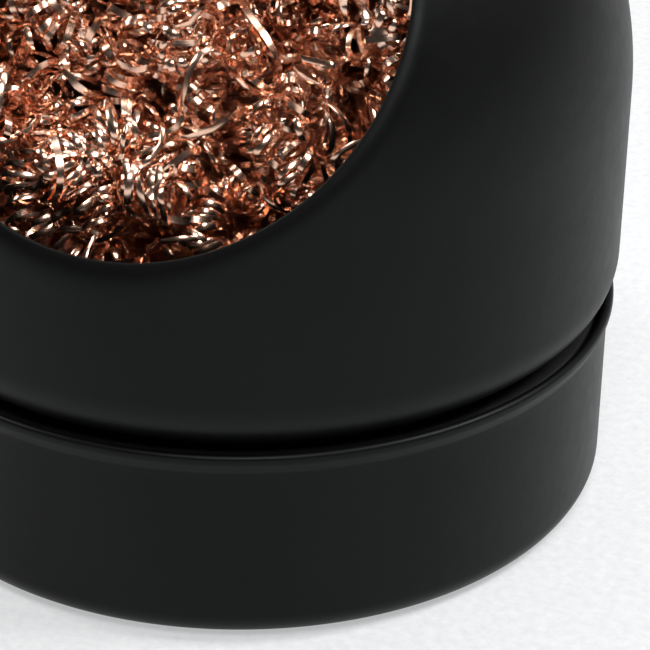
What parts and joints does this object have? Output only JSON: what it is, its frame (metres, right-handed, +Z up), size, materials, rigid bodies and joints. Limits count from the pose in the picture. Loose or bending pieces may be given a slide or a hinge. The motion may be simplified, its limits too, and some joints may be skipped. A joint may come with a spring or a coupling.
{
  "type": "soldering tip cleaner",
  "caption": "Dry tip cleaner: curled metal ribbon wool behind the tilted round mouth of a black domed sheet housing, on a short weighted base cup.",
  "frame": {"origin": "middle of the foot, on the surface that the cleaner stands on", "axes": "+Z up along the axis of the round body, mouth facing -Y, +X to the right of a user who faces the mouth"},
  "size_m": [0.08, 0.08, 0.0848],
  "materials": {
    "satin_black_paint": "satin",
    "sleeve_steel": "satin",
    "black_rubber": "matte",
    "copper_ribbon_wool": "gloss",
    "tinned_steel": "satin",
    "bare_iron": "matte",
    "zinc_screw": "satin"
  },
  "bodies": {
    "base": {"base_cup": "satin_black_paint", "ballast_plate": "bare_iron", "ballast_screws": "zinc_screw", "foot_ring": "black_rubber"},
    "band": {"friction_band": "black_rubber"},
    "housing": {"housing_shell": "satin_black_paint", "housing_sleeve": "sleeve_steel"},
    "wool": {"cleaning_wool": "copper_ribbon_wool"},
    "tray": {"debris_tray": "tinned_steel"}
  },
  "joints": [
    {"name": "housing_lift", "type": "slide", "parent": "base", "child": "band", "axis": [0, 0, 1], "range_m": [0, 0.12]},
    {"name": "housing_turn", "type": "hinge", "parent": "band", "child": "housing", "pos_m": [0, 0, 0.02], "axis": [0, 0, 1], "continuous": true},
    {"name": "wool_lift", "type": "slide", "parent": "base", "child": "wool", "axis": [0, 0, 1], "range_m": [0, 0.042]},
    {"name": "tray_lift", "type": "slide", "parent": "base", "child": "tray", "axis": [0, 0, 1], "range_m": [0, 0.025]}
  ],
  "couplings": [
    {"joint": "wool_lift", "follows": "housing_lift", "ratio": 0.34},
    {"joint": "tray_lift", "follows": "housing_lift", "ratio": 0.2}
  ]
}
